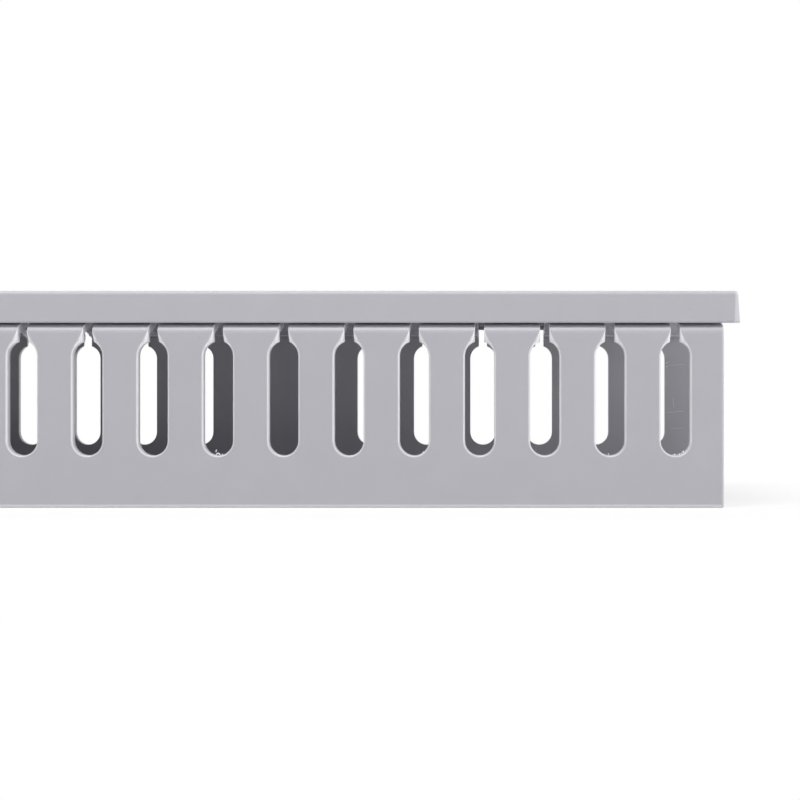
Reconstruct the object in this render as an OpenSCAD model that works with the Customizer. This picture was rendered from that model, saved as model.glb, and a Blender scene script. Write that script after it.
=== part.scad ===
// Slotted wire duct: a PVC channel with open fingers along both walls, and a snap-fit cover.
//
// The channel lies along X with its mouth up. Its origin is the middle of the underside,
// +X points to the end with the short margin and +Z points up. Every length is in millimetres.

/* [Channel] */
// Length of the channel and of the cover, as the stock is cut
duct_length = 1000; // [250:50:2000]
// Outside width over the two walls
duct_width = 40; // [30:1:100]
// Height from the underside to the finger tips
duct_height = 40; // [35:1:100]
// Thickness of the two walls, and of the fingers up to their heads
wall_thickness = 1.6; // [1.2:0.1:1.9]
// Thickness of the base
base_thickness = 1.6; // [1.4:0.1:3]
// Radius of the two long bottom corners
corner_radius = 0.8; // [0.4:0.1:1.2]

/* [Slots] */
// Distance from one slot to the next
slot_pitch = 12.5; // [10:0.5:20]
// Width of the clear opening between two fingers
slot_width = 5.6; // [4.4:0.1:7]
// Height of the foot of a slot above the underside
slot_foot = 10; // [6:0.5:16]
// Width of the neck between two fingers
neck_width = 1.8; // [1.2:0.1:2.4]
// Height of the neck, from the clear opening up to the corner of the shoulder
neck_height = 2.9; // [2.4:0.1:4]
// Distance from the +X end to the middle of the first slot
end_margin = 9.25; // [6:0.25:15]
// How much wider the mouth of a slot is on each side, where the punch drew its edge in
mouth_flare = 0.4; // [0.2:0.05:0.6]
// Depth of that drawn-in edge
mouth_depth = 0.5; // [0.3:0.05:0.8]
// Height above the clear opening at which the mouth starts to funnel out of the neck
funnel_height = 2.3; // [1.6:0.1:3]

/* [Finger heads] */
// Height from the corner of the shoulder up to the finger tips
head_rise = 5.3; // [5.1:0.1:6.5]
// Outer radius of that corner
shoulder_radius = 2; // [1:0.1:2.4]
// Rise of the shoulder towards the stem, in degrees
shoulder_slope = 19; // [10:1:22]
// Depth of the shoulder, from the outer face of the wall in to the stem
shoulder_depth = 4.4; // [3.8:0.1:5]
// Height of the rounded head
head_height = 1.8; // [1.4:0.1:2]

/* [Cover] */
// Thickness of the flat top
cover_thickness = 1.6; // [1.2:0.1:2.4]
// Thickness of the two legs
leg_thickness = 1.4; // [1.1:0.1:1.8]
// Radius of the two long top corners
cover_corner_radius = 0.9; // [0.4:0.1:1.2]
// Radius of the bead inside a leg
bead_radius = 0.9; // [0.6:0.05:1]
// How far the bead reaches under the head
bead_overlap = 0.9; // [0.4:0.1:1.2]
// How far the cover is pushed past the +X end of the channel
cover_offset = 3.1; // [0:0.1:20]

/* [Mounting holes] */
// Distance between neighbouring holes in the base, oblong and round in turn
hole_pitch = 50; // [25:5:100]
// Diameter of a round hole, and width of an oblong one
hole_diameter = 4.5; // [3.5:0.1:6.5]
// Length of an oblong hole, end to end
hole_length = 9; // [7:0.5:15]

/* [Clearances] */
// Gap between the foot of a leg and the shoulder under it
leg_gap = 0.25; // [0.1:0.05:0.5]
// Gap between a head and the leg beside it
side_gap = 0.4; // [0.3:0.05:0.6]
// Gap between a head and the bead under it
bead_gap = 0.3; // [0.1:0.05:0.4]

/* [Hidden] */
$fn = 48;
// Overrun of a cutter past the face that it cuts
over = 1;
// How far a rounding's circle reaches over the two edges that it joins, so that they cross cleanly
edge_cross = 0.005;
// Directions in a section of the +Y half
up = [0, 1];
down = [0, -1];
inwards = [-1, 0];

half_width = duct_width / 2;
wall_inside = half_width - wall_thickness;
stem_outside = half_width - shoulder_depth;
stem_inside = stem_outside - wall_thickness;

// Height of the shoulder's top and underside at a distance y from the duct's middle plane
shoulder_z = duct_height - head_rise;
shoulder_run = [-cos(shoulder_slope), sin(shoulder_slope)];
function shoulder_top(y) = shoulder_z + (half_width - y) * tan(shoulder_slope);
function shoulder_under(y) = shoulder_top(y) - wall_thickness / cos(shoulder_slope);

leg_inside = half_width - leg_thickness;
leg_foot_z = shoulder_top(leg_inside) + leg_gap;
cover_top_z = duct_height + cover_thickness;

head_radius = head_height / 2;
head_z = duct_height - head_radius;
head_reach = leg_inside - side_gap;

// The bead sits as close under the head as bead_gap lets it
bead_tip = head_reach - bead_overlap;
bead_y = bead_tip + bead_radius;
bead_sideways = bead_y - (head_reach - head_radius);
bead_apart = head_radius + bead_radius + bead_gap;
bead_z = head_z - sqrt(pow(bead_apart, 2) - pow(bead_sideways, 2));

slot_radius = slot_width / 2;
slot_top_z = shoulder_z - neck_height;
foot_centre_z = slot_foot + slot_radius;
// The neck's sides meet the round top of the opening at slot_top_z
top_centre_z = slot_top_z - sqrt(pow(slot_radius, 2) - pow(neck_width / 2, 2));
slot_count = floor((duct_length - 2 * end_margin) / slot_pitch) + 1;
first_slot_x = duct_length / 2 - end_margin;

// The funnel's sides start on the neck and run down as tangents of the flared round top
mouth_radius = slot_radius + mouth_flare;
funnel_rise = slot_top_z + funnel_height - top_centre_z;
funnel_reach = norm([neck_width / 2, funnel_rise]);
funnel_angle = atan2(funnel_rise, neck_width / 2) - acos(mouth_radius / funnel_reach);
funnel_length = sqrt(pow(funnel_reach, 2) - pow(mouth_radius, 2));

hole_radius = hole_diameter / 2;
hole_pairs = floor(duct_length / 2 / hole_pitch);

// A section drawn across the duct, Y to the right and Z up, run along X
module along_x(length) {
    rotate([90, 0, 90]) linear_extrude(length, center = true) children();
}

// Both halves of a section that is drawn for the +Y side only
module both_sides() {
    children();
    mirror([1, 0]) children();
}

// A bar with rounded ends, level, from x = left to x = right
module rounded_bar(left, right, middle_z, radius) {
    translate([left + radius, middle_z - radius]) square([right - left - 2 * radius, 2 * radius]);
    translate([left + radius, middle_z]) circle(radius);
    translate([right - radius, middle_z]) circle(radius);
}

// What is cut from a corner to round it. edge_a and edge_b point along its edges, away from it
module corner_cut(corner, edge_a, edge_b, radius) {
    half_angle = acos(edge_a * edge_b) / 2;
    middle = corner + radius / sin(half_angle) * (edge_a + edge_b) / norm(edge_a + edge_b);
    touch = radius / tan(half_angle);
    difference() {
        polygon([for (p = [middle, corner + touch * edge_a, corner, corner + touch * edge_b])
            middle + 2 * (p - middle)]);
        translate(middle) circle(radius + edge_cross);
    }
}

// Wall, sloping shoulder and stem of the +Y side, before its corners are rounded
module finger_section() {
    polygon([[wall_inside, 0], [half_width, 0], [half_width, shoulder_z],
             [stem_outside, shoulder_top(stem_outside)], [stem_outside, head_z],
             [stem_inside, head_z], [stem_inside, shoulder_under(stem_inside)],
             [wall_inside, shoulder_under(wall_inside)]]);
}

// The +Y half of the channel's section, with the rounded head that the cover snaps over
module channel_section() {
    difference() {
        union() {
            square([half_width, base_thickness]);
            finger_section();
        }
        corner_cut([half_width, 0], up, inwards, corner_radius);
        corner_cut([half_width, shoulder_z], down, shoulder_run, shoulder_radius);
        corner_cut([stem_inside, shoulder_under(stem_inside)], up, -shoulder_run, wall_thickness);
    }
    rounded_bar(stem_inside, head_reach, head_z, head_radius);
}

// Outline of one slot, seen from the side: round foot, round top and a narrow neck
module slot_outline() {
    translate([0, foot_centre_z]) circle(slot_radius);
    translate([0, top_centre_z]) circle(slot_radius);
    translate([-slot_radius, foot_centre_z]) square([slot_width, top_centre_z - foot_centre_z]);
    translate([-neck_width / 2, top_centre_z])
        square([neck_width, duct_height + over - top_centre_z]);
}

// Drawn-in edge of a round end of the opening
module round_flare(centre_z) {
    translate([0, 0, centre_z])
        rotate([-90, 0, 0])
            cylinder(h = mouth_depth, r1 = mouth_radius, r2 = slot_radius);
}

// Drawn-in edges of the opening's straight sides
module side_flare() {
    translate([0, 0, foot_centre_z])
        linear_extrude(top_centre_z - foot_centre_z)
            polygon([[-mouth_radius, 0], [mouth_radius, 0],
                     [slot_radius, mouth_depth], [-slot_radius, mouth_depth]]);
}

// One side of the funnel between neck and opening, with the slope of the other drawn-in edges
module funnel_flare() {
    reach = neck_width * 0.8;
    slope = mouth_depth / mouth_flare;
    translate([mouth_radius * cos(funnel_angle), 0, top_centre_z + mouth_radius * sin(funnel_angle)])
        rotate([0, -funnel_angle, 0])
            linear_extrude(funnel_length + over / 2)
                polygon([[0, 0], [0, -over], [-reach, -over], [-reach, reach * slope]]);
}

// All that widens the mouth of one slot, on a wall whose outer face is at Y = 0
module slot_mouth() {
    round_flare(foot_centre_z);
    round_flare(top_centre_z);
    side_flare();
    funnel_flare();
    mirror([1, 0, 0]) funnel_flare();
}

// One slot through both walls, up to and past the finger tips
module slot_cutter() {
    rotate([90, 0, 0])
        linear_extrude(duct_width + 2 * over, center = true) slot_outline();
    for (side = [0, 1])
        mirror([0, side, 0]) translate([0, -half_width, 0]) slot_mouth();
}

module oblong_hole() {
    linear_extrude(base_thickness + 2 * over) {
        square([hole_length - hole_diameter, hole_diameter], center = true);
        for (side = [-1, 1])
            translate([side * (hole_length - hole_diameter) / 2, 0]) circle(hole_radius);
    }
}

module round_hole() {
    cylinder(h = base_thickness + 2 * over, r = hole_radius);
}

// Mounting holes along the middle of the base, outwards from both sides of the origin
module mounting_holes() {
    for (side = [-1, 1], i = [0 : hole_pairs - 1])
        translate([side * (i + 0.5) * hole_pitch, 0, -over])
            if (i % 2 == 0) oblong_hole();
            else round_hole();
}

module duct_channel() {
    color([0.72, 0.71, 0.74])
        difference() {
            along_x(duct_length) both_sides() channel_section();
            for (i = [0 : slot_count - 1])
                translate([first_slot_x - i * slot_pitch, 0, 0]) slot_cutter();
            mounting_holes();
        }
}

// The +Y half of the cover's section: flat top, leg and bead
module cover_section() {
    difference() {
        union() {
            translate([0, duct_height]) square([half_width, cover_thickness]);
            translate([leg_inside, leg_foot_z]) square([leg_thickness, cover_top_z - leg_foot_z]);
        }
        corner_cut([half_width, cover_top_z], down, inwards, cover_corner_radius);
    }
    intersection() {
        translate([bead_y, bead_z]) circle(bead_radius);
        translate([bead_tip - over, bead_z - bead_radius - over])
            square([leg_inside + leg_thickness / 2 - bead_tip + over, 2 * (bead_radius + over)]);
    }
}

module snap_cover() {
    color([0.74, 0.73, 0.76])
        translate([cover_offset, 0, 0]) along_x(duct_length) both_sides() cover_section();
}

duct_channel();
snap_cover();
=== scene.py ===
import math

import bmesh
import bpy
from mathutils import Matrix, Vector


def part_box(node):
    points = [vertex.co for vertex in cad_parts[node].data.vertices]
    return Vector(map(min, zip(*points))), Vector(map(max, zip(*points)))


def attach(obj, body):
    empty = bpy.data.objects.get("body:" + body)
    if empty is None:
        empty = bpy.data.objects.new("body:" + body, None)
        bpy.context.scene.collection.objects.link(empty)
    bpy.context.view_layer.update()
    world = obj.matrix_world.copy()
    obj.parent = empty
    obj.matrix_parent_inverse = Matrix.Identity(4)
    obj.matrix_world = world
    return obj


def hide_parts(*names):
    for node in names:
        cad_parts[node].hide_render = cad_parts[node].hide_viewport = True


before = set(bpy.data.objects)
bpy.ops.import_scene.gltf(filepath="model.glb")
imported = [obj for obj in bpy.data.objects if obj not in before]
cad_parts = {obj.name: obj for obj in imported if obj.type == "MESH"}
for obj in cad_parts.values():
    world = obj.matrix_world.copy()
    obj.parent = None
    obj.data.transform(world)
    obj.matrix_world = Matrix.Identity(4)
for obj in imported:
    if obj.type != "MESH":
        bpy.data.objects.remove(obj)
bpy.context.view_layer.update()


# Camera. It looks level at the short-margin end of the duct, about 240 mm in front of the wall
# and a little above half its height, so that neither the cover's top nor the underside shows.
mm = 0.001
duct_low, duct_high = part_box("duct_channel")
camera_from_end = 41.9 * mm
camera_from_wall = 242 * mm
camera_height = 25.4 * mm

camera_data = bpy.data.cameras.new("camera")
camera_data.sensor_width = 36
camera_data.lens = 56.97
camera_data.shift_x = -0.131
camera_data.shift_y = -0.031
camera = bpy.data.objects.new("camera", camera_data)
camera.location = (duct_high.x - camera_from_end, duct_low.y - camera_from_wall, camera_height)
camera.rotation_euler = (math.radians(90), 0, 0)
bpy.context.scene.collection.objects.link(camera)
bpy.context.scene.camera = camera
bpy.context.scene.view_settings.view_transform = "Standard"


# Floor and light. A white table under a white surround, a large soft lamp high in front of the
# duct, a weaker one high behind it, and a wide one far off its open end that shines into the
# slots. The table keeps the duct's shadow.
shadow_near = 20 * mm
shadow_far = 130 * mm
shadow_end_margin = 15 * mm


def add_math(nodes, operation):
    """A Math node for one operation"""
    node = nodes.new("ShaderNodeMath")
    node.operation = operation
    return node


floor_mesh = bpy.data.meshes.new("floor")
bm = bmesh.new()
bmesh.ops.create_grid(bm, x_segments=1, y_segments=1, size=6)
bm.to_mesh(floor_mesh)
bm.free()
floor = bpy.data.objects.new("floor", floor_mesh)
bpy.context.scene.collection.objects.link(floor)

table_white = bpy.data.materials.new("table_white")
table_white.use_nodes = True
nodes, links = table_white.node_tree.nodes, table_white.node_tree.links
nodes.clear()
paint = nodes.new("ShaderNodeBsdfDiffuse")
paint.inputs["Color"].default_value = (0.92, 0.92, 0.92, 1)
glow = nodes.new("ShaderNodeEmission")

# Close to the duct the table shows its shadow; further off it is as white as the surround
place = nodes.new("ShaderNodeTexCoord")
apart = nodes.new("ShaderNodeSeparateXYZ")
from_middle = add_math(nodes, "ABSOLUTE")
from_centre = add_math(nodes, "ABSOLUTE")
past_end = add_math(nodes, "SUBTRACT")
past_end.inputs[1].default_value = duct_high.x - shadow_end_margin
away = add_math(nodes, "MAXIMUM")
whiten = nodes.new("ShaderNodeMapRange")
whiten.interpolation_type = "SMOOTHSTEP"
whiten.inputs["From Min"].default_value = shadow_near
whiten.inputs["From Max"].default_value = shadow_far
whiten.inputs["To Min"].default_value = 0.72
whiten.inputs["To Max"].default_value = 1
links.new(place.outputs["Object"], apart.inputs["Vector"])
links.new(apart.outputs["Y"], from_middle.inputs[0])
links.new(apart.outputs["X"], from_centre.inputs[0])
links.new(from_centre.outputs["Value"], past_end.inputs[0])
links.new(from_middle.outputs["Value"], away.inputs[0])
links.new(past_end.outputs["Value"], away.inputs[1])
links.new(away.outputs["Value"], whiten.inputs["Value"])

# That white is only what the camera and glossy skins see: light falls on a white paint
ray = nodes.new("ShaderNodeLightPath")
direct = add_math(nodes, "MAXIMUM")
seen = add_math(nodes, "MULTIPLY")
mix = nodes.new("ShaderNodeMixShader")
surface = nodes.new("ShaderNodeOutputMaterial")
links.new(ray.outputs["Is Camera Ray"], direct.inputs[0])
links.new(ray.outputs["Is Glossy Ray"], direct.inputs[1])
links.new(direct.outputs["Value"], seen.inputs[0])
links.new(whiten.outputs["Result"], seen.inputs[1])
links.new(seen.outputs["Value"], mix.inputs["Fac"])
links.new(paint.outputs["BSDF"], mix.inputs[1])
links.new(glow.outputs["Emission"], mix.inputs[2])
links.new(mix.outputs["Shader"], surface.inputs["Surface"])
floor_mesh.materials.append(table_white)

surround = bpy.data.worlds.new("surround")
surround.use_nodes = True
nodes, links = surround.node_tree.nodes, surround.node_tree.links
sky = nodes["Background"]
sky.inputs["Color"].default_value = (1, 1, 1, 1)
sky.inputs["Strength"].default_value = 0.2
white = nodes.new("ShaderNodeBackground")
white.inputs["Color"].default_value = (1, 1, 1, 1)
white.inputs["Strength"].default_value = 1
ray = nodes.new("ShaderNodeLightPath")
direct = add_math(nodes, "MAXIMUM")
seen = add_math(nodes, "MAXIMUM")
mix = nodes.new("ShaderNodeMixShader")
links.new(ray.outputs["Is Camera Ray"], direct.inputs[0])
links.new(ray.outputs["Is Glossy Ray"], direct.inputs[1])
links.new(direct.outputs["Value"], seen.inputs[0])
links.new(ray.outputs["Is Transmission Ray"], seen.inputs[1])
links.new(seen.outputs["Value"], mix.inputs["Fac"])
links.new(sky.outputs["Background"], mix.inputs[1])
links.new(white.outputs["Background"], mix.inputs[2])
links.new(mix.outputs["Shader"], nodes["World Output"].inputs["Surface"])
bpy.context.scene.world = surround


def hang_lamp(name, place, aim, width, height, watts):
    """A soft lamp that points from its place to its aim"""
    lamp_data = bpy.data.lights.new(name, "AREA")
    lamp_data.shape = "RECTANGLE"
    lamp_data.size = width
    lamp_data.size_y = height
    lamp_data.energy = watts
    lamp = bpy.data.objects.new(name, lamp_data)
    lamp.location = place
    lamp.rotation_euler = (Vector(aim) - Vector(place)).to_track_quat("-Z", "Y").to_euler()
    bpy.context.scene.collection.objects.link(lamp)


hang_lamp("front_lamp", (0.1, -0.58, 1.42), (0.2, 0, 0.02), width=1.3, height=0.6, watts=19)
hang_lamp("back_lamp", (0.1, 0.8, 1.4), (0.1, 0, 0.02), width=1.6, height=0.6, watts=7)
hang_lamp("end_lamp", (3.0, -0.5, 0.8), (0.5, 0, 0.3), width=3.0, height=1.5, watts=46)


# PVC. Both pieces are extruded from grey rigid PVC: a slightly uneven, satin skin with faint
# lines along the extrusion. Where a punch or saw stressed the plastic it has turned paler, and a
# few edges are painted pale as painted light.
def shaded(colour, amount):
    """A colour made darker or lighter, as a colour socket takes it"""
    return [share * amount for share in colour] + [1]


def add_colour_mix(nodes):
    """A Mix node for colours"""
    node = nodes.new("ShaderNodeMix")
    node.data_type = "RGBA"
    return node


def add_noise(nodes, scale, detail):
    """A Noise texture of one scale and detail"""
    node = nodes.new("ShaderNodeTexNoise")
    node.inputs["Scale"].default_value = scale
    node.inputs["Detail"].default_value = detail
    return node


def grey_pvc(name, colour, pale):
    """Rigid PVC of one colour, paler where its strain attribute is 1: stress-whitened plastic,
    and painted light on a few edges
    """
    material = bpy.data.materials.new(name)
    material.use_nodes = True
    nodes, links = material.node_tree.nodes, material.node_tree.links
    skin = nodes["Principled BSDF"]
    skin.inputs["IOR"].default_value = 1.53
    place = nodes.new("ShaderNodeTexCoord")

    # Cloudy unevenness of the colour, a few millimetres across
    cloud = add_noise(nodes, scale=180, detail=4)
    links.new(place.outputs["Object"], cloud.inputs["Vector"])
    clouded = add_colour_mix(nodes)
    clouded.inputs["A"].default_value = shaded(colour, 0.965)
    clouded.inputs["B"].default_value = shaded(colour, 1.035)
    links.new(cloud.outputs["Fac"], clouded.inputs["Factor"])

    # A few specks of dust and filler, darker or paler, about a quarter of a millimetre across
    dots = nodes.new("ShaderNodeTexVoronoi")
    dots.inputs["Scale"].default_value = 190
    links.new(place.outputs["Object"], dots.inputs["Vector"])
    dot_edge = nodes.new("ShaderNodeMapRange")
    dot_edge.inputs["From Min"].default_value = 0.018
    dot_edge.inputs["From Max"].default_value = 0.034
    dot_edge.inputs["To Min"].default_value = 1
    dot_edge.inputs["To Max"].default_value = 0
    links.new(dots.outputs["Distance"], dot_edge.inputs["Value"])
    dot_pick = nodes.new("ShaderNodeSeparateColor")
    links.new(dots.outputs["Color"], dot_pick.inputs["Color"])
    rare = add_math(nodes, "GREATER_THAN")
    rare.inputs[1].default_value = 0.72
    links.new(dot_pick.outputs["Red"], rare.inputs[0])
    dot_mask = add_math(nodes, "MULTIPLY")
    links.new(dot_edge.outputs["Result"], dot_mask.inputs[0])
    links.new(rare.outputs["Value"], dot_mask.inputs[1])
    dot_amount = add_math(nodes, "MULTIPLY")
    dot_amount.inputs[1].default_value = 0.4
    links.new(dot_mask.outputs["Value"], dot_amount.inputs[0])
    dot_tone = add_colour_mix(nodes)
    dot_tone.inputs["A"].default_value = shaded(colour, 0.45)
    dot_tone.inputs["B"].default_value = shaded(colour, 1.5)
    links.new(dot_pick.outputs["Green"], dot_tone.inputs["Factor"])
    dotted = add_colour_mix(nodes)
    links.new(dot_amount.outputs["Value"], dotted.inputs["Factor"])
    links.new(clouded.outputs["Result"], dotted.inputs["A"])
    links.new(dot_tone.outputs["Result"], dotted.inputs["B"])

    # Plastic paled by strain, and a few edges painted pale as painted light
    strain_and_painted_light = nodes.new("ShaderNodeAttribute")
    strain_and_painted_light.attribute_name = "strain_and_painted_light"
    paled = add_colour_mix(nodes)
    paled.inputs["B"].default_value = shaded(pale, 1)
    links.new(strain_and_painted_light.outputs["Fac"], paled.inputs["Factor"])
    links.new(dotted.outputs["Result"], paled.inputs["A"])
    links.new(paled.outputs["Result"], skin.inputs["Base Color"])

    # Lines that the die leaves along the length
    along = nodes.new("ShaderNodeMapping")
    along.inputs["Scale"].default_value = (6, 900, 900)
    links.new(place.outputs["Object"], along.inputs["Vector"])
    die_lines = add_noise(nodes, scale=1, detail=3)
    links.new(along.outputs["Vector"], die_lines.inputs["Vector"])
    sheen = nodes.new("ShaderNodeMapRange")
    sheen.inputs["To Min"].default_value = 0.34
    sheen.inputs["To Max"].default_value = 0.48
    links.new(die_lines.outputs["Fac"], sheen.inputs["Value"])
    links.new(sheen.outputs["Result"], skin.inputs["Roughness"])

    # The skin's fine orange peel
    peel = add_noise(nodes, scale=1400, detail=2)
    links.new(place.outputs["Object"], peel.inputs["Vector"])
    relief = nodes.new("ShaderNodeBump")
    relief.inputs["Strength"].default_value = 0.12
    relief.inputs["Distance"].default_value = 0.1 * mm
    links.new(peel.outputs["Fac"], relief.inputs["Height"])
    links.new(relief.outputs["Normal"], skin.inputs["Normal"])
    return material


# Channel. Grey PVC, extruded as a U with sloping shoulders and rounded heads, then punched
# through both walls from the outside. The punch opens a slot, splits the shoulder above it into
# fingers and draws the slot's outer edge in. Holes along the base take the fixing screws.
wall_out = duct_high.y
wall_thickness = 1.6 * mm
wall_in = wall_out - wall_thickness
base_top_z = wall_thickness
corner_radius = 0.8 * mm

# Shoulder, stem and head, and the ridge under the shoulder
bend_radius = 2 * mm
slope = math.radians(19)
shoulder_z = duct_high.z - 5.3 * mm
shoulder_depth = 4.4 * mm
stem_out = wall_out - shoulder_depth
stem_in = stem_out - wall_thickness
head_radius = 0.9 * mm
head_reach = 18.2 * mm
head_z = duct_high.z - head_radius
head_top_back = stem_out + 0.1 * mm
ridge_in = 1.8 * mm
ridge_half = 0.15 * mm
ridge_height = 0.18 * mm

# Slots. The mouth is the slot's edge on the wall's outer face, and the funnel is where it narrows
# to the neck. The edge is drawn in draw_slope times as deep as it is wide, and at the split
# between two fingers it is split_edge wide.
slot_pitch = 12.5 * mm
slot_count = 79
first_slot_x = duct_high.x - 9.25 * mm
finger_middle = slot_pitch / 2
slot_radius = 2.8 * mm
neck_side = 0.9 * mm
foot_centre_z = 12.8 * mm
slot_top_z = 31.8 * mm
top_centre_z = slot_top_z - math.sqrt(slot_radius ** 2 - neck_side ** 2)
mouth_radius = 3.2 * mm
funnel_z = 34.1 * mm
draw_slope = 1.25
split_edge = 0.07 * mm

# How far the plastic turned pale from strain at the slots' edges and at the saw cuts (there
# partly a painted highlight), and how pale the bottom corner is painted as a painted reflection
# of the table
foot_strain = 0.45
top_strain = 0.7
funnel_strain = 1
painted_table_reflection = 0.55
sawn_strain_and_painted_highlight = 0.3

# Fixing holes
hole_pitch = 50 * mm
holes_each_way = 10
hole_radius = 2.25 * mm
hole_corners = 32

# Sawn ends, and the distances at which two places count as one and two corners are joined
sawn_band = 0.5 * mm
sawn_rounding = 0.18 * mm
same_place = 0.01 * mm
hair = 0.001 * mm

along = Vector((1, 0, 0))
facing = Vector((0, 1, 0))
up = Vector((0, 0, 1))


def wall_way(turn):
    """Direction in the plane of the wall, turned from along the duct towards up"""
    return along * math.cos(turn) + up * math.sin(turn)


def section_way(turn):
    """Direction in the plane of the section, turned from outwards towards up"""
    return facing * math.cos(turn) + up * math.sin(turn)


def wall_line(middle, inner_middle, mouth, clear, depth, outward, level=None):
    """Corners across the wall: finger's middle, slot mouth, drawn-in edge, cut, finger's middle.

    mouth and clear are points on the outer face; outward is that face's normal there. The cut
    runs straight back into the wall at the height level, or else at inner_middle's height.
    """
    line = [middle, mouth]
    for degrees in (30, 60, 90):
        turn = math.radians(degrees)
        drawn_in = outward * depth * (1 - math.cos(turn))
        line.append(mouth.lerp(clear, math.sin(turn)) - drawn_in)
    cut_z = inner_middle.z if level is None else level
    line.append(Vector((clear.x, inner_middle.y, cut_z)))
    line.append(line[-1].lerp(inner_middle, 0.05))
    line.append(inner_middle)
    return line


def round_line(centre_z, turn, x, outer_z, inner_z):
    """Corners across the wall where the slot is round, at one turn about the round's centre"""
    centre = Vector((0, wall_out, centre_z))
    clear = centre + wall_way(turn) * slot_radius
    return wall_line(Vector((x, wall_out, outer_z)), Vector((x, wall_in, inner_z)),
                     centre + wall_way(turn) * mouth_radius, clear,
                     draw_slope * (mouth_radius - slot_radius), facing, clear.z)


# Round foot, from its lowest point outwards. The finger's middle stays at the bottom of the wall
# for the first half, and climbs for the second.
lines = []
for step in range(7):
    x = min(step / 3, 1) * finger_middle
    climb = max(step - 3, 0) / 3
    lines.append(round_line(foot_centre_z, math.radians(-90 + 15 * step), x,
                            corner_radius + climb * (foot_centre_z - corner_radius),
                            base_top_z + climb * (foot_centre_z - base_top_z)))

# Round top, up to where the funnel's straight side leaves its flared edge as a tangent
funnel_rise = funnel_z - top_centre_z
funnel_turn = math.atan2(funnel_rise, neck_side)
funnel_turn -= math.acos(mouth_radius / math.hypot(neck_side, funnel_rise))
for turn in (0, funnel_turn / 2, funnel_turn):
    z = top_centre_z + mouth_radius * math.sin(turn)
    lines.append(round_line(top_centre_z, turn, finger_middle, z, z))

# Funnel, over the rest of the round top and up the neck to the start of the bend
funnel_foot_x = mouth_radius * math.cos(funnel_turn)
funnel_foot_z = top_centre_z + mouth_radius * math.sin(funnel_turn)
funnel_lean = (funnel_foot_x - neck_side) / (funnel_z - funnel_foot_z)
neck_turn = math.acos(neck_side / slot_radius)
bend_z = shoulder_z - bend_radius / math.tan((math.pi / 2 + slope) / 2)
clear_points = []
for share in (1 / 3, 2 / 3, 1):
    turn = funnel_turn + share * (neck_turn - funnel_turn)
    clear_points.append(wall_way(turn) * slot_radius + up * top_centre_z)
clear_points.append(Vector((neck_side, 0, (slot_top_z + bend_z) / 2)))
clear_points.append(Vector((neck_side, 0, bend_z)))
for clear in clear_points:
    clear.y = wall_out
    mouth = Vector((neck_side + (funnel_z - clear.z) * funnel_lean, wall_out, clear.z))
    reach = (mouth.x - clear.x) * math.cos(math.atan(funnel_lean))
    lines.append(wall_line(Vector((finger_middle, wall_out, clear.z)),
                           Vector((finger_middle, wall_in, clear.z)),
                           mouth, clear, draw_slope * reach, facing))

# Section above the neck: matching points of its outer and inner face, and the outer face's normal
section = []
under_z = shoulder_z + wall_thickness * math.tan(slope) - wall_thickness / math.cos(slope)


def shoulder_under(inwards):
    """Point on the underside of the shoulder, so far inwards from the wall's inner face"""
    return Vector((0, wall_in - inwards, under_z + inwards * math.tan(slope)))


# Bend over the wall
bend_centre = Vector((0, wall_out - bend_radius, bend_z))
for degrees, inwards, below in ((12.2, 0, 0.2 * mm), (24.4, 0, 0), (40, 0.45 * mm, 0),
                                (55.5, 0.9 * mm, 0), (71, 1.3 * mm, 0)):
    normal = section_way(math.radians(degrees))
    section.append((bend_centre + normal * bend_radius, shoulder_under(inwards) - up * below,
                    normal))

# Sloping shoulder, with a fine ridge that the die leaves along its underside
uphill = Vector((0, -math.cos(slope), math.sin(slope)))
slope_normal = Vector((0, math.sin(slope), math.cos(slope)))
for aside, proud in ((-ridge_half, 0), (0, ridge_height), (ridge_half, 0)):
    inner = shoulder_under(ridge_in + aside)
    section.append((inner + slope_normal * wall_thickness, inner - slope_normal * proud,
                    slope_normal))

# Corner between the shoulder and the stem, sharp outside and round inside
stem_foot = Vector((0, stem_out, shoulder_z + shoulder_depth * math.tan(slope)))
for index, (downhill, lift) in enumerate(((0.4 * mm, 0), (0.2 * mm, 0), (0, 0),
                                          (0, 0.15 * mm), (0, 0.3 * mm))):
    turn = -(math.pi / 2 + slope) - (math.pi / 2 - slope) * index / 4
    section.append((stem_foot - uphill * downhill + up * lift,
                    stem_foot + section_way(turn) * wall_thickness,
                    slope_normal if downhill else facing))

# Stem and rounded head
head_low_z = head_z - head_radius
head_side = Vector((0, head_reach - head_radius, head_z))
head_back = Vector((0, stem_in + head_radius, head_z))
section.append((Vector((0, stem_out, head_low_z)), Vector((0, stem_in, head_low_z)), facing))
section.append((head_side - up * head_radius, Vector((0, stem_in, head_z)), -up))
for outer_degrees, inner_degrees in ((-45, 150), (0, 120), (45, 90)):
    normal = section_way(math.radians(outer_degrees))
    inner = head_back + section_way(math.radians(inner_degrees)) * head_radius
    section.append((head_side + normal * head_radius, inner, normal))
section.append((head_side + up * head_radius, Vector((0, head_top_back, duct_high.z)), up))

for outer, inner, normal in section:
    reach = max((funnel_z - outer.z) * funnel_lean, split_edge)
    lines.append(wall_line(outer + along * finger_middle, inner + along * finger_middle,
                           outer + along * (neck_side + reach), outer + along * neck_side,
                           draw_slope * reach, normal))


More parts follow.
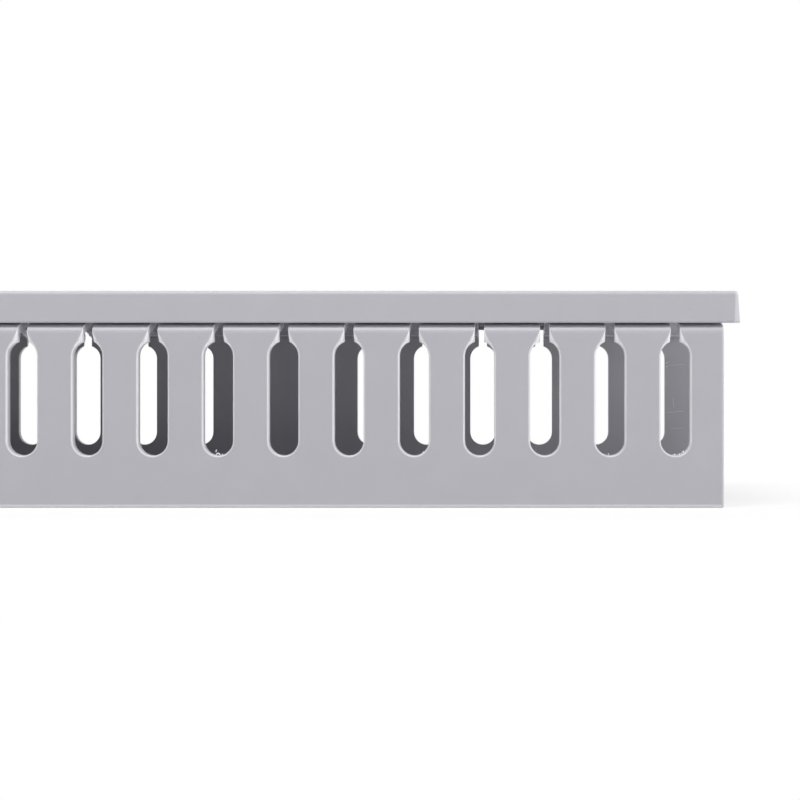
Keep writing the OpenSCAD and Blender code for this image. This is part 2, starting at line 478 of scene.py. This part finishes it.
def line_strain_and_painted_light(line):
    """How pale each corner of a line is: strain from the punch and the die, and painted light on
    the cut under the cover and on the ridge
    """
    if line[1].z < foot_centre_z - 0.5 * mm:
        drawn = foot_strain
    elif funnel_foot_z + same_place < line[1].z < funnel_z:
        drawn = funnel_strain
    else:
        drawn = top_strain
    strain_and_light_shares = [drawn * share for share in (0, 0, 1, 1, 0.8, 0, 0, 0)]
    # Above the bend the cut is painted pale from its inner edge: a pale burr line, and painted
    # light that lifts the shade under the cover
    if line[1].z > bend_z + same_place:
        strain_and_light_shares[5] = 1
    # The ridge under the shoulder is painted pale, a painted highlight along it
    if abs(line[-1].y - (wall_in - ridge_in)) < ridge_half / 2:
        strain_and_light_shares[-3:] = [1, 1, 1]
    return strain_and_light_shares


def lies_at(edge, axis, place):
    """Whether an edge lies at one place along an axis: 0 for X, 1 for Y, 2 for Z"""
    return all(abs(corner.co[axis] - place) < same_place for corner in edge.verts)


def corners_in(geometry):
    """The corners among what an operator gives back"""
    return [item for item in geometry if isinstance(item, bmesh.types.BMVert)]


def edges_round(bm, ring):
    """The edges of a ring of corners, in the ring's order"""
    return [bm.edges.get((a, b)) for a, b in zip(ring, ring[1:] + ring[:1])]


# Half a cell: the first line, then carried on from line to line, and closed over the head
bm = bmesh.new()
strain_and_painted_light = bm.verts.layers.float.new("strain_and_painted_light")
row = [bm.verts.new(place) for place in lines[0]]
for corner, amount in zip(row, line_strain_and_painted_light(lines[0])):
    corner[strain_and_painted_light] = amount
for a, b in zip(row, row[1:]):
    bm.edges.new((a, b))
for line in lines[1:]:
    edges = [bm.edges.get((a, b)) for a, b in zip(row, row[1:])]
    fresh = set(corners_in(bmesh.ops.extrude_edge_only(bm, edges=edges)["geom"]))
    row = [next(e.other_vert(old) for e in old.link_edges if e.other_vert(old) in fresh)
           for old in row]
    for corner, place, amount in zip(row, line, line_strain_and_painted_light(line)):
        corner.co = place
        corner[strain_and_painted_light] = amount
bmesh.ops.contextual_create(bm, geom=row)

# Rounded bottom corner, and a strip of the underside up to the inside of the wall
foot_edges = [e for e in bm.edges if lies_at(e, 2, corner_radius) and lies_at(e, 1, wall_out)]
swept = bmesh.ops.spin(bm, geom=foot_edges, cent=(0, wall_out - corner_radius, corner_radius),
                       axis=(1, 0, 0), angle=-math.pi / 2, steps=4)
under_edges = [e for e in swept["geom_last"] if isinstance(e, bmesh.types.BMEdge)]
# The rounded bottom corner is painted pale: a painted reflection of the white table, not strain
for corner in bm.verts:
    if corner.co.z < 0.6 * mm and corner.co.y > wall_out - corner_radius - same_place:
        corner[strain_and_painted_light] = painted_table_reflection
for corner in corners_in(bmesh.ops.extrude_edge_only(bm, edges=under_edges)["geom"]):
    corner.co.y = wall_in

# The other half of the cell, then a cell for every slot
bmesh.ops.mirror(bm, geom=bm.verts[:] + bm.edges[:] + bm.faces[:], axis="X", merge_dist=hair)
bmesh.ops.translate(bm, verts=bm.verts, vec=(first_slot_x, 0, 0))
bmesh.ops.spin(bm, geom=bm.verts[:] + bm.edges[:] + bm.faces[:], dvec=(-slot_pitch, 0, 0),
               axis=(0, 0, 1), angle=0, steps=slot_count - 1, use_duplicate=True)
bmesh.ops.remove_doubles(bm, verts=bm.verts, dist=2 * hair)

# Plain ends past the last half fingers, each with a line round it just short of the saw cut, so
# that only a narrow band turns pale there, partly from the saw and partly as a painted highlight
last_slot_x = first_slot_x - slot_pitch * (slot_count - 1)
for end_x, cell_x in ((duct_high.x, first_slot_x + finger_middle),
                      (duct_low.x, last_slot_x - finger_middle)):
    edges = [e for e in bm.edges if lies_at(e, 0, cell_x)]
    for corner in corners_in(bmesh.ops.extrude_edge_only(bm, edges=edges)["geom"]):
        corner.co.x = end_x
for band_x in (duct_high.x - sawn_band, duct_low.x + sawn_band):
    bmesh.ops.bisect_plane(bm, geom=bm.verts[:] + bm.edges[:] + bm.faces[:], dist=hair / 10,
                           plane_co=(band_x, 0, 0), plane_no=(1, 0, 0))

# The wall on the other side
bmesh.ops.mirror(bm, geom=bm.verts[:] + bm.edges[:] + bm.faces[:], axis="Y", merge_dist=0)

# Holes in the base, oblong and round in turn, outwards from the middle
hole_rims = {0: [], base_top_z: []}
for index in range(holes_each_way):
    for way in (-1, 1):
        turned = Matrix.Rotation(math.pi / hole_corners, 4, "Z")
        rim = bmesh.ops.create_circle(bm, segments=hole_corners, radius=hole_radius,
                                      matrix=turned)["verts"]
        if index % 2 == 0:
            for corner in rim:
                corner.co.x += math.copysign(hole_radius, corner.co.x)
        bmesh.ops.translate(bm, verts=rim, vec=(way * (index + 0.5) * hole_pitch, 0, 0))
        low_edges = edges_round(bm, rim)
        grown = bmesh.ops.extrude_edge_only(bm, edges=low_edges)["geom"]
        bmesh.ops.translate(bm, verts=corners_in(grown), vec=(0, 0, base_top_z))
        hole_rims[0] += low_edges
        hole_rims[base_top_z] += [g for g in grown if isinstance(g, bmesh.types.BMEdge)
                                  and lies_at(g, 2, base_top_z)]

# Underside and floor of the base, filled round the holes
for z, rims in hole_rims.items():
    border = [e for e in bm.edges if e.is_boundary and lies_at(e, 2, z)
              and (lies_at(e, 1, wall_in) or lies_at(e, 1, -wall_in))]
    for end_x in (duct_low.x, duct_high.x):
        corners = [v for v in bm.verts if abs(v.co.x - end_x) < same_place
                   and abs(abs(v.co.y) - wall_in) < same_place and abs(v.co.z - z) < same_place]
        border.append(bm.edges.new(corners))
    bmesh.ops.triangle_fill(bm, edges=border + rims, use_beauty=True)

# Sawn end faces
for end_x in (duct_low.x, duct_high.x):
    rim = [e for e in bm.edges if e.is_boundary and lies_at(e, 0, end_x)]
    bmesh.ops.edgeloop_fill(bm, edges=rim)
    bmesh.ops.recalc_face_normals(bm, faces=bm.faces)
    softened = bmesh.ops.bevel(bm, geom=rim, affect="EDGES", offset=sawn_rounding, segments=2,
                               profile=0.5, material=-1, clamp_overlap=True)
    # The rounded rims are painted a little pale: strain from the saw, and partly a painted
    # highlight
    for corner in softened["verts"]:
        corner[strain_and_painted_light] = sawn_strain_and_painted_highlight


def make_piece(name, bm, material):
    """Makes an object of a finished bmesh, smooth on its rounds and flat on its flat faces"""
    for face in bm.faces:
        face.smooth = True
    mesh = bpy.data.meshes.new(name)
    bm.to_mesh(mesh)
    bm.free()
    mesh.set_sharp_from_angle(angle=math.radians(35))
    mesh.materials.append(material)
    piece = bpy.data.objects.new(name, mesh)
    bpy.context.scene.collection.objects.link(piece)
    flats = piece.modifiers.new("flat faces stay flat", "WEIGHTED_NORMAL")
    flats.keep_sharp = True
    flats.weight = 100
    return piece


channel_pvc = grey_pvc("channel_pvc", colour=(0.44, 0.435, 0.47), pale=(0.88, 0.875, 0.9))
channel = make_piece("channel", bm, channel_pvc)
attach(channel, "channel")
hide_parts("duct_channel")


# Cover. Grey PVC, extruded as a flat strip with two short legs, each with a bead that snaps
# under the finger heads. It is sawn to length and sits a little past the channel's end.
cover_low, cover_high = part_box("snap_cover")
cover_under_z = duct_high.z
cover_rounding = 0.9 * mm
leg_in = 18.6 * mm
leg_foot_z = 35.43 * mm
foot_round_outside = 0.4 * mm
foot_round_inside = 0.3 * mm
bead_y = 18.2 * mm
bead_z = 37.2 * mm
bead_radius = 0.9 * mm

# Ends. A lean is how far a face goes back for each unit that it rises.
far_rounding = 0.2 * mm
near_lean = 0.065
rolled_lean = 0.034
rolled_band = (1.2 * mm, 0.97 * mm)
rolled_narrowing = 0.994
rolled_drop = 0.1 * mm
rolled_strain_and_painted_highlight = 0.3
rim_strain_and_painted_highlight = 0.4


def arc(y, z, radius, first, last, step):
    """Points of a section on an arc about (y, z), from one angle down to another in degrees"""
    centre = Vector((0, y, z))
    return [centre + section_way(math.radians(degrees)) * radius
            for degrees in range(first, last - 1, -step)]


cover_section = [Vector((0, 0, cover_high.z))]
cover_section += arc(cover_high.y - cover_rounding, cover_high.z - cover_rounding,
                     cover_rounding, 90, 0, 15)
cover_section += arc(cover_high.y - foot_round_outside, leg_foot_z + foot_round_outside,
                     foot_round_outside, 0, -90, 30)
cover_section += arc(leg_in + foot_round_inside, leg_foot_z + foot_round_inside,
                     foot_round_inside, -90, -180, 30)
cover_section += arc(bead_y, bead_z, bead_radius, -75, -240, 15)
cover_section += [Vector((0, leg_in, bead_z + bead_radius)), Vector((0, leg_in, cover_under_z)),
                  Vector((0, 0, cover_under_z))]

bm = bmesh.new()
strain_and_painted_light = bm.verts.layers.float.new("strain_and_painted_light")
row = [bm.verts.new(place + along * cover_low.x) for place in cover_section]
for a, b in zip(row, row[1:]):
    bm.edges.new((a, b))
bmesh.ops.mirror(bm, geom=bm.verts[:] + bm.edges[:], axis="Y", merge_dist=hair)
bmesh.ops.edgeloop_fill(bm, edges=bm.edges)
grown = bmesh.ops.extrude_face_region(bm, geom=bm.faces[:], use_keep_orig=True)["geom"]
bmesh.ops.translate(bm, verts=corners_in(grown), vec=(cover_high.x - cover_low.x, 0, 0))
bmesh.ops.recalc_face_normals(bm, faces=bm.faces)

# The far end is sawn square. The near end was sheared: it leans back towards the top, and the
# blade rolled its rim over and turned it pale. That pale band is partly a painted highlight.
far_edges = [e for e in bm.edges if lies_at(e, 0, cover_low.x)]
bmesh.ops.bevel(bm, geom=far_edges, affect="EDGES", offset=far_rounding, segments=2,
                profile=0.5, material=-1)
near_corners = [v for v in bm.verts if abs(v.co.x - cover_high.x) < same_place]
for corner in near_corners:
    corner.co.x -= hair + near_lean * (corner.co.z - cover_low.z)
for back in rolled_band:
    cut = bmesh.ops.bisect_plane(bm, geom=bm.verts[:] + bm.edges[:] + bm.faces[:],
                                 dist=hair / 10, plane_no=(1, 0, -rolled_lean),
                                 plane_co=(cover_high.x - back, 0, cover_low.z))
# The rolled band and the rim are painted pale: strain from the blade, and partly a painted
# highlight
for corner in corners_in(cut["geom_cut"]):
    corner[strain_and_painted_light] = rolled_strain_and_painted_highlight
for corner in near_corners:
    corner[strain_and_painted_light] = rim_strain_and_painted_highlight
    corner.co.y *= rolled_narrowing
    corner.co.z -= rolled_drop * (corner.co.z - cover_low.z) / (cover_high.z - cover_low.z)

cover_pvc = grey_pvc("cover_pvc", colour=(0.45, 0.445, 0.48), pale=(0.88, 0.875, 0.9))
cover = make_piece("cover", bm, cover_pvc)
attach(cover, "cover")
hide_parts("snap_cover")


# Swarf. Where the punch grew blunt it left thin torn curls of the same PVC hanging on the
# edges of a few slots, about a millimetre long at most. They are paler than the skin, and so
# are the scuffs on the wall behind the first slot.
curl_corners = 5
curl_steps = 6
curl_drift = 0.03 * mm
curl_tip = 0.4
bm = bmesh.new()


def hang_curl(slot, x, z, curl, start, sweep, thickness, inside=0.4):
    """A curl on a slot, counted from the near end, that tapers to its tip.

    Sizes are in mm: x is from the slot's middle line, curl is the curl's radius and inside is
    how far it hangs behind the wall's outer face. start and sweep are in degrees.
    """
    slot_x = first_slot_x - slot_pitch * (slot - 1)
    root = Vector((slot_x + x * mm, inside * mm - wall_out, z * mm))
    toward = wall_way(math.radians(start))
    across = toward.to_track_quat("X", "Z").to_matrix().to_4x4()
    ring = bmesh.ops.create_circle(bm, segments=curl_corners, radius=thickness / 2 * mm,
                                   matrix=Matrix.Translation(root) @ across)["verts"]
    spun = bmesh.ops.spin(bm, geom=edges_round(bm, ring), cent=root + toward * curl * mm,
                          axis=(0, 1, 0), angle=math.radians(sweep), steps=curl_steps,
                          dvec=(0, -curl_drift, 0))
    tip = corners_in(spun["geom_last"])
    middle = sum((corner.co for corner in tip), Vector()) / len(tip)
    bmesh.ops.scale(bm, verts=tip, vec=[curl_tip] * 3, space=Matrix.Translation(-middle))


# Curls on the feet of three slots
for slot, x, z, curl, start, sweep, thickness in ((8, -0.35, 10.05, 0.35, 10, 170, 0.22),
                                                  (8, -0.45, 10.65, 0.6, 0, 55, 0.2),
                                                  (8, 0.4, 10.0, 0.4, 180, -70, 0.2),
                                                  (8, 0.85, 10.1, 0.3, 180, -60, 0.18),
                                                  (5, 1.6, 10.45, 0.35, 0, 80, 0.18),
                                                  (2, -0.25, 10.0, 0.8, 180, -40, 0.16)):
    hang_curl(slot, x, z, curl, start, sweep, thickness)

# Short torn points along the foot of the first slot, leaning left and right in turn
for index, curl in enumerate((0.21, 0.36, 0.15, 0.3, 0.24, 0.42, 0.18)):
    x = -0.5 + 0.42 * index
    z = (foot_centre_z - math.sqrt(slot_radius ** 2 - (x * mm) ** 2)) / mm
    start, sweep = (180, -60) if index % 2 else (0, 60)
    hang_curl(1, x, z, curl, start, sweep, 0.22 + 0.06 * (index % 3))

# Threads on the side of the first slot and in a few necks
for slot, x, z in ((1, -2.75, 27.0), (1, -2.75, 27.8), (1, 0.9, 33.2), (1, 0.9, 34.2),
                   (2, 0.9, 33.6), (10, -0.9, 33.4), (9, 0.9, 33.0)):
    hang_curl(slot, x, z, 0.5, 90, math.copysign(45, -x), 0.12, inside=0.8)

# Hair-thin scuffs, raised on the inner face of the far wall beside its first slot
scuff_inside = (wall_out + wall_in) / mm - 0.03
for x, z, curl, start, sweep, thickness in ((3.3, 17.2, 25, 90, -9, 0.065),
                                            (4.2, 13.6, 20, 90, -8, 0.045),
                                            (4.6, 20.6, 12, 0, -12, 0.05),
                                            (3.0, 27.3, 0.4, 90, -60, 0.15),
                                            (3.0, 28.1, 0.5, 90, -70, 0.14),
                                            (3.7, 27.6, 25, 90, -8, 0.04)):
    hang_curl(1, x, z, curl, start, sweep, thickness, inside=scuff_inside)

bmesh.ops.holes_fill(bm, edges=bm.edges[:])
bmesh.ops.recalc_face_normals(bm, faces=bm.faces)
strain_and_painted_light = bm.verts.layers.float.new("strain_and_painted_light")
for corner in bm.verts:
    corner[strain_and_painted_light] = 1
swarf_mesh = bpy.data.meshes.new("swarf")
bm.to_mesh(swarf_mesh)
bm.free()
torn_pvc = grey_pvc("torn_pvc", colour=(0.75, 0.74, 0.76), pale=(0.92, 0.91, 0.94))
swarf_mesh.materials.append(torn_pvc)
swarf = bpy.data.objects.new("swarf", swarf_mesh)
bpy.context.scene.collection.objects.link(swarf)
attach(swarf, "channel")
